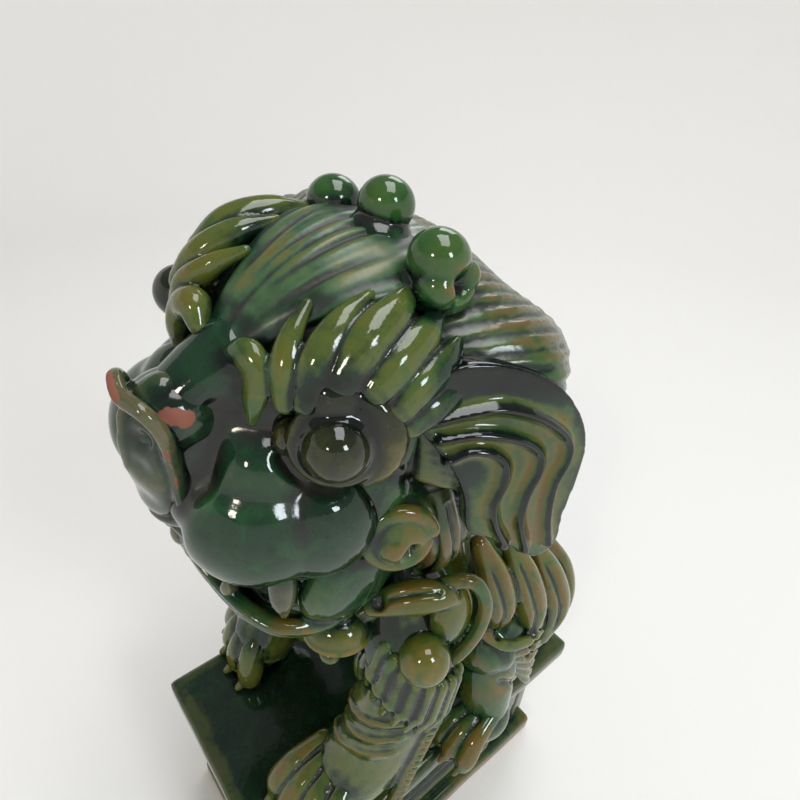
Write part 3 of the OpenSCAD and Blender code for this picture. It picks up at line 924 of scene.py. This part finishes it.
def slab(low, high, bevel=1.4):
    """A softened block between two corners, in millimetres."""
    bpy.ops.object.select_all(action="DESELECT")
    bpy.ops.mesh.primitive_cube_add(size=1, location=(low + high) / 2)
    block = bpy.context.object
    block.scale = high - low
    bpy.ops.object.transform_apply(location=True, rotation=False, scale=True)
    bpy.ops.object.mode_set(mode="EDIT")
    bpy.ops.mesh.select_all(action="SELECT")
    bpy.ops.mesh.bevel(offset=bevel, segments=3, affect="EDGES")
    bpy.ops.object.mode_set(mode="OBJECT")
    return block


def node_corners(node):
    low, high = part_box(node)
    return low / MM, high / MM


def lean_on(piece, low, high, count=9, give=0.5):
    """Soft unevenness: shallow dents at places that follow the golden angle, pushed towards the middle."""
    middle_of = (low + high) / 2
    for k in range(count):
        spot = Vector((math.cos(2.4 * k), math.sin(2.4 * k), math.cos(1.7 * k + 1)))
        at = Vector([m + s * (h - l) / 2 for m, s, l, h in zip(middle_of, spot, low, high)])
        push = (middle_of - at).normalized() * give
        press(piece, [(*at, 9 + 2 * (k % 3), *push)])


for node in ("plinth_top", "plinth_foot"):
    low, high = node_corners(node)
    plate = knead(node, [slab(low, high)], 1.25, 2)
    lean_on(plate, low, high)
    place(plate, node, ON_FLOOR, "plinth_glaze" if node == "plinth_top" else "foot_glaze")

# %% [markdown]
# Each wall of the waist has a sunk panel. Its outer face is inset and pushed in, by its place: the face whose
# middle lies furthest out from the plinth's axis.

# %% Plinth walls
PANEL_RIM = 9.0
PANEL_SINK = 1.8
for side in ("front", "back", "left", "right"):
    node = "plinth_wall_" + side
    low, high = node_corners(node)
    wall_block = slab(low, high, bevel=0.6)
    axis = 1 if side in ("front", "back") else 0
    outward = -1 if side in ("front", "right") else 1
    select_only(wall_block)
    bpy.ops.object.mode_set(mode="EDIT")
    bpy.ops.mesh.select_all(action="DESELECT")
    bpy.ops.object.mode_set(mode="OBJECT")
    outermost = max(wall_block.data.polygons, key=lambda face: outward * face.center[axis] + 1e-3 * face.area)
    outermost.select = True
    bpy.ops.object.mode_set(mode="EDIT")
    bpy.ops.mesh.select_mode(type="FACE")
    bpy.ops.mesh.inset(thickness=PANEL_RIM, depth=0)
    bpy.ops.mesh.inset(thickness=1.2, depth=-PANEL_SINK)
    bpy.ops.object.mode_set(mode="OBJECT")
    place(knead(node, [wall_block], 1.2, 2), node, ON_FLOOR, "plinth_glaze")

# %% [markdown]
# A lead glaze runs. It drains off ridges, which turn amber and brown where the clay shows through, and it
# pools in grooves, which turn nearly black. So each mesh carries four numbers at every point. Pool compares
# the skin with a blurred copy of itself: positive in a groove, negative on a ridge. Dust is high in hollows
# that face up. Crowding says how close the next piece of clay is: glaze fills every join and lies dark there,
# and the same number also darkens the crease between parts as painted shade. Chip marks the few places
# knocked back to red clay.

# %% Where the glaze runs: ridges and grooves
def blurred(points, edges, rounds):
    """The skin after each point has moved to the mean of its neighbours, a number of times over."""
    a, b = edges[:, 0], edges[:, 1]
    count = np.bincount(a, minlength=len(points)) + np.bincount(b, minlength=len(points))
    count = np.maximum(count, 1)
    for _ in range(rounds):
        total = [np.bincount(a, points[b, i], len(points)) + np.bincount(b, points[a, i], len(points))
                 for i in range(points.shape[1])]
        points = 0.5 * points + 0.5 * np.stack(total, 1) / count[:, None]
    return points


def edges_of(piece):
    edges = np.empty(len(piece.data.edges) * 2, np.int32)
    piece.data.edges.foreach_get("vertices", edges)
    return edges.reshape(-1, 2)


def store(piece, name, values):
    layer = piece.data.attributes.new(name, "FLOAT", "POINT")
    layer.data.foreach_set("value", np.asarray(values, np.float32))


FINE_ROUNDS, BROAD_ROUNDS = 6, 34


def mark_pools(piece):
    """Writes pool, from -1 on a sharp ridge to 1 in a deep groove, and dust, high in hollows that face up."""
    points, normals = skin_of(piece)
    edges = edges_of(piece)
    fine = blurred(points, edges, FINE_ROUNDS)
    broad = blurred(fine, edges, BROAD_ROUNDS)
    fine_pool = ((fine - points) * normals).sum(1) / MM
    broad_pool = ((broad - points) * normals).sum(1) / MM
    pool = np.clip(fine_pool * 6 + broad_pool * 1.3, -1, 1)
    store(piece, "pool", pool)
    store(piece, "dust", np.clip(normals[:, 2] * 1.2 - 0.15, 0, 1) * np.clip(0.25 + broad_pool * 1.5, 0, 1))


# %% Where pieces crowd each other: glaze pooled in joins, and painted shade between parts
CELL = 1.1 * MM


def join_pool_and_shade_grid(all_pieces):
    """A grid that counts how many pieces have skin in or beside each cell, softly blurred: it marks glaze
    pooled in joins and painted shade in the creases between parts.
    """
    low = np.array([min(skin_of(p)[0][:, i].min() for p in all_pieces) for i in range(3)]) - 4 * CELL
    high = np.array([max(skin_of(p)[0][:, i].max() for p in all_pieces) for i in range(3)]) + 4 * CELL
    shape = np.ceil((high - low) / CELL).astype(int) + 1
    total = np.zeros(shape, np.float32)
    for piece in all_pieces:
        cells = ((skin_of(piece)[0] - low) / CELL).astype(int)
        filled = np.zeros(shape, bool)
        filled[tuple(cells.T)] = True
        for axis in range(3):
            filled |= np.roll(filled, 1, axis) | np.roll(filled, -1, axis)
        total += filled
    crowd = np.clip(total - 1, 0, 1)
    for _ in range(2):
        for axis in range(3):
            crowd = (np.roll(crowd, 1, axis) + 2 * crowd + np.roll(crowd, -1, axis)) / 4
    return low, crowd


# Reads the crowding grid at each point: glaze pooled in joins, and painted shade between parts.
def mark_join_pool_and_shade(piece, low, crowd):
    place_in = (skin_of(piece)[0] - low) / CELL - 0.5
    base = np.floor(place_in).astype(int)
    part = place_in - base
    value = np.zeros(len(base))
    for corner in np.ndindex(2, 2, 2):
        weight = np.prod(np.where(corner, part, 1 - part), axis=1)
        value += weight * crowd[tuple((base + corner).T)]
    store(piece, "crowd", blurred(value[:, None], edges_of(piece), FINE_ROUNDS)[:, 0])


CHIPS = [
    ((5.6, -46.5, 15.5), (7.4, -41.5, 13.4), 1.5), ((0.5, -51, 17.2), (-5, -49.5, 17.4), 1.1),
    ((9.0, -47.0, 9.5), (10.2, -45.8, 0), 0.6), ((7.5, -34.4, 23.0), (8.5, -34.2, 22.5), 0.7),
    ((36.9, -13.6, -13.8), (37.0, -13.2, -13.2), 1.0), ((25.5, -30.5, 20), (26.5, -29.5, 20), 0.8),
]
FOOT_BARE = 0.0035


def mark_chips(piece):
    """Bare clay: along each chipped edge on the head, and on the foot below the line where the dip ended."""
    points, _ = skin_of(piece)
    chip = np.clip((FOOT_BARE - points[:, 2]) / 0.001 + 0.5, 0, 1)
    for start, end, radius in CHIPS:
        path = np.array([ON_HEAD @ Vector(start), ON_HEAD @ Vector(end)])
        away = distance_to(points, path, 3 * radius * MM) / (radius * MM)
        chip = np.maximum(chip, np.clip(1.6 - away, 0, 1))
    store(piece, "chip", chip)


low_corner, crowd = join_pool_and_shade_grid(list(pieces.values()))
for piece in pieces.values():
    mark_pools(piece)
    mark_join_pool_and_shade(piece, low_corner, crowd)
    mark_chips(piece)
print("glaze is mapped on", len(pieces), "pieces")

# %% [markdown]
# Shader maths reads best as sums, so a small class wraps a node's output and turns +, - and * into Math
# nodes. One method adds every other kind of node.

# %% Shader maths
class Wire:
    """One output in a finish's node tree. Arithmetic on it adds Math nodes."""

    def __init__(self, finish, socket):
        self.finish, self.socket = finish, socket

    def math(self, operation, *values):
        return self.finish.add("ShaderNodeMath", {"operation": operation}, *values)

    def __add__(self, other):
        return self.math("ADD", self, other)

    __radd__ = __add__

    def __sub__(self, other):
        return self.math("SUBTRACT", self, other)

    def __rsub__(self, other):
        return self.math("SUBTRACT", other, self)

    def __mul__(self, other):
        return self.math("MULTIPLY", self, other)

    __rmul__ = __mul__

    def clamp(self):
        return self.finish.add("ShaderNodeClamp", {}, self, 0.0, 1.0)


class Finish:
    """A material being wired. add() makes a node of any kind and returns its first output."""

    def __init__(self, name):
        self.material = bpy.data.materials.new(name)
        self.material.use_nodes = True
        self.tree = self.material.node_tree
        self.shader = self.tree.nodes["Principled BSDF"]

    def add(self, kind, settings, *values, out=0, **named):
        node = self.tree.nodes.new(kind)
        for key, value in settings.items():
            if key == "stops":
                self.set_stops(node.color_ramp, value)
            else:
                setattr(node, key, value)
        for target, value in [*zip(node.inputs, values), *((node.inputs[k], v) for k, v in named.items())]:
            self.feed(target, value)
        return Wire(self, node.outputs[out])

    def feed(self, target, value):
        if isinstance(value, Wire):
            self.tree.links.new(value.socket, target)
        elif value is not None:
            target.default_value = value

    def set_stops(self, ramp, stops):
        while len(ramp.elements) < len(stops):
            ramp.elements.new(0.5)
        for element, (position, colour) in zip(ramp.elements, stops):
            element.position = position
            element.color = (*colour, 1) if hasattr(colour, "__len__") else (colour, colour, colour, 1)

    def attribute(self, name):
        return self.add("ShaderNodeAttribute", {"attribute_name": name}, out=2)

    def noise(self, scale, detail=3.0, distortion=0.0):
        spot = self.add("ShaderNodeTexCoord", {}, out=3)
        return self.add("ShaderNodeTexNoise", {}, Vector=spot, Scale=scale, Detail=detail,
                        Distortion=distortion)

    def mix(self, amount, first, second):
        node = self.tree.nodes.new("ShaderNodeMix")
        node.data_type = "RGBA"
        for target, value in zip((node.inputs[0], node.inputs[6], node.inputs[7]), (amount, first, second)):
            self.feed(target, (*value, 1) if isinstance(value, tuple) else value)
        return Wire(self, node.outputs[2])


# %% [markdown]
# One recipe makes every green glaze on the figure; a few numbers and four colours tell them apart. The depth
# of glaze at a point is its pool plus the crowding plus slow and quick noise. The crowding part is glaze
# pooled in the joins and also painted shade in the creases between parts. It looks up a colour, from amber
# where it is thin, through olive and green, to near-black where it is deepest.

# %% Glaze
BLACK = (0.0022, 0.0045, 0.0035)
BOTTLE = (0.005, 0.022, 0.010)
EMERALD = (0.010, 0.090, 0.022)
GREEN = (0.026, 0.078, 0.022)
OLIVE = (0.070, 0.088, 0.014)
AMBER = (0.130, 0.088, 0.016)
DUST = (0.085, 0.080, 0.062)
RUST = (0.230, 0.075, 0.045)
STONEWARE = (0.330, 0.230, 0.150)


def glaze(name, thin=AMBER, lean=OLIVE, body=GREEN, deep=BOTTLE, patch=EMERALD, bare=RUST,
          depth=0.0, dusty=0.5, wet=0.08):
    f = Finish(name)
    pool, join_pool_and_shade_value = f.attribute("pool"), f.attribute("crowd")
    slow, quick = f.noise(85.0, 4.0, 0.6), f.noise(420.0, 4.0)
    # The crowding term darkens the glaze near other pieces: partly glaze pooled in the join, partly painted
    # shade in the crease.
    amount = pool * 0.42 + join_pool_and_shade_value * 0.42 + (slow - 0.5) * 0.95 + (quick - 0.5) * 0.32 + (0.47 + depth)
    amount = amount.clamp()
    colour = f.add("ShaderNodeValToRGB", {"stops": [(0.04, thin), (0.22, lean), (0.44, body), (0.70, deep),
                                                    (0.90, BLACK)]}, amount)
    patches = ((f.noise(120.0, 2.0, 1.2) - 0.54) * 7.0).clamp() * (1.0 - amount) * 0.8
    colour = f.mix(patches, colour, patch)
    speck = ((f.noise(1500.0, 2.0) - 0.66) * 12.0).clamp() * 0.5
    colour = f.mix(speck, colour, BLACK)
    dust = (f.attribute("dust") * (0.55 + quick) * dusty).clamp()
    colour = f.mix(dust, colour, DUST)
    chip = ((f.attribute("chip") - 0.5 + (quick - 0.5) * 1.6) * 5.0).clamp()
    colour = f.mix(chip, colour, bare)
    f.feed(f.shader.inputs["Base Color"], colour)
    f.feed(f.shader.inputs["Roughness"], (wet + dust * 0.5 + chip * 0.7 + (quick - 0.5) * 0.06).clamp())
    f.shader.inputs["IOR"].default_value = 1.55
    ripple = f.noise(260.0, 2.0) * 0.7 + f.noise(900.0, 2.0) * 0.3
    bump = f.add("ShaderNodeBump", {}, Strength=0.12, Distance=0.0006, Height=ripple)
    f.feed(f.shader.inputs["Normal"], bump)
    return f.material


RECIPES = {
    "green_glaze": {},
    "snout_glaze": dict(lean=(0.016, 0.050, 0.018), body=(0.008, 0.036, 0.014), depth=0.12, dusty=0.6,
                        wet=0.06),
    "olive_glaze": dict(lean=(0.095, 0.098, 0.014), body=(0.062, 0.090, 0.016), depth=-0.10),
    "knob_glaze": dict(lean=(0.055, 0.100, 0.018), body=(0.028, 0.090, 0.020), patch=(0.015, 0.120, 0.028),
                       depth=0.10, dusty=0.4),
    "bell_glaze": dict(thin=(0.16, 0.12, 0.02), lean=(0.10, 0.105, 0.014), body=(0.065, 0.085, 0.014),
                       patch=(0.03, 0.10, 0.02), depth=-0.12, dusty=0.1, wet=0.05),
    "jaw_glaze": dict(lean=(0.040, 0.085, 0.022), body=(0.014, 0.056, 0.020), depth=0.08, dusty=0.3),
    "eye_glaze": dict(lean=(0.090, 0.080, 0.015), body=(0.032, 0.034, 0.008), deep=(0.014, 0.018, 0.006),
                      patch=(0.05, 0.07, 0.01), dusty=0.1, wet=0.05),
    "combed_glaze": dict(lean=(0.105, 0.112, 0.018), body=(0.074, 0.104, 0.020), dusty=0.45),
    "crest_glaze": dict(lean=(0.120, 0.125, 0.030), body=(0.050, 0.115, 0.045), patch=(0.012, 0.090, 0.045),
                        dusty=0.7, wet=0.32),
    "mane_glaze": dict(thin=(0.12, 0.085, 0.03), body=(0.050, 0.070, 0.024), dusty=0.9, wet=0.2),
    "ear_glaze": dict(lean=(0.105, 0.105, 0.020), body=(0.064, 0.092, 0.020), depth=0.03, dusty=0.25),
    "mouth_glaze": dict(lean=(0.10, 0.10, 0.05), body=(0.050, 0.060, 0.035), patch=(0.06, 0.07, 0.02)),
    "chipped_glaze": dict(lean=(0.100, 0.095, 0.045), body=(0.040, 0.058, 0.026), patch=(0.01, 0.07, 0.02),
                          dusty=0.2),
    "plinth_glaze": dict(thin=(0.065, 0.070, 0.030), lean=(0.05, 0.070, 0.02), body=(0.010, 0.026, 0.014),
                         patch=(0.010, 0.060, 0.018), depth=0.12, dusty=0.12),
    "foot_glaze": dict(lean=(0.05, 0.070, 0.02), body=(0.012, 0.034, 0.016), patch=(0.010, 0.060, 0.018),
                       bare=STONEWARE, depth=0.08, dusty=0.2),
}
finishes = {name: glaze(name, **recipe) for name, recipe in RECIPES.items()}
for piece in pieces.values():
    piece.data.materials.clear()
    piece.data.materials.append(finishes[piece["finish"]])
print(len(finishes), "finishes are mixed")

wall = Finish("pale_wall")
wall.shader.inputs["Base Color"].default_value = (0.86, 0.85, 0.83, 1)
wall.shader.inputs["Roughness"].default_value = 0.9
floor.data.materials.append(wall.material)

# %% The end: the unit ball is cleared away
bpy.data.objects.remove(unit_ball)
